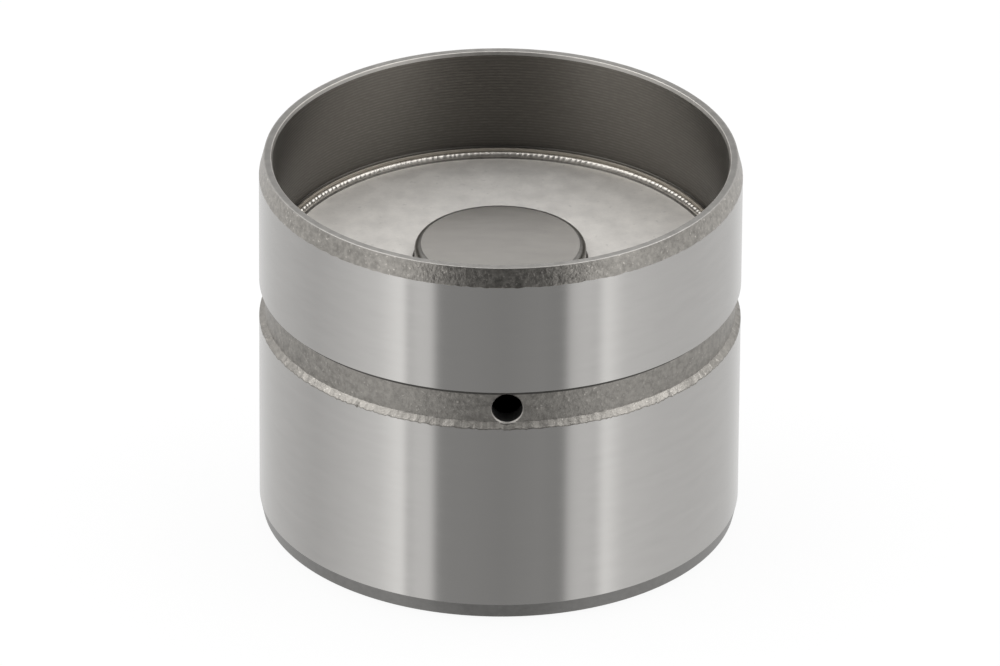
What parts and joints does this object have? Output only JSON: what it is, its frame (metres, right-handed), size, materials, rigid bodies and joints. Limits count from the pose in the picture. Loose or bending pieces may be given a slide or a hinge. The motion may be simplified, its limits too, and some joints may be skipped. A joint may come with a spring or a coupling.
{
  "type": "hydraulic bucket tappet",
  "caption": "Hydraulic bucket tappet: cup-shaped steel cam follower with an oil groove, a feed hole, a welded partition plate and a sprung inner housing that takes up valve clearance.",
  "frame": {"origin": "centre of the cam face, on the axis of the bucket", "axes": "+Z along the axis from the cam face to the valve, -Y towards the oil feed hole"},
  "size_m": [0.032, 0.032, 0.026],
  "materials": {
    "bucket_steel": "ground satin",
    "insert_steel": "fine matt sheet",
    "housing_steel": "lapped satin",
    "ring_wire": "drawn wire",
    "piston_steel": "ground",
    "ball_steel": "polished",
    "cap_steel": "pressed sheet",
    "spring_steel": "drawn wire"
  },
  "bodies": {
    "root": {"bucket": "bucket_steel", "guide_insert": "insert_steel", "piston": "piston_steel", "valve_cap": "cap_steel", "valve_spring": "spring_steel", "return_spring": "spring_steel"},
    "inner_housing_body": {"inner_housing": "housing_steel", "retaining_ring": "ring_wire"},
    "check_ball_body": {"check_ball": "ball_steel"}
  },
  "joints": [
    {"name": "inner_housing_slide", "type": "slide", "parent": "root", "child": "inner_housing_body", "axis": [0, 0, -1], "range_m": [0, 0.003], "stiffness_N_per_m": 4000, "deforming": ["return_spring"]},
    {"name": "check_ball_lift", "type": "slide", "parent": "root", "child": "check_ball_body", "axis": [0, 0, 1], "range_m": [0, 0.0002], "stiffness_N_per_m": 50, "deforming": ["valve_spring"]}
  ]
}
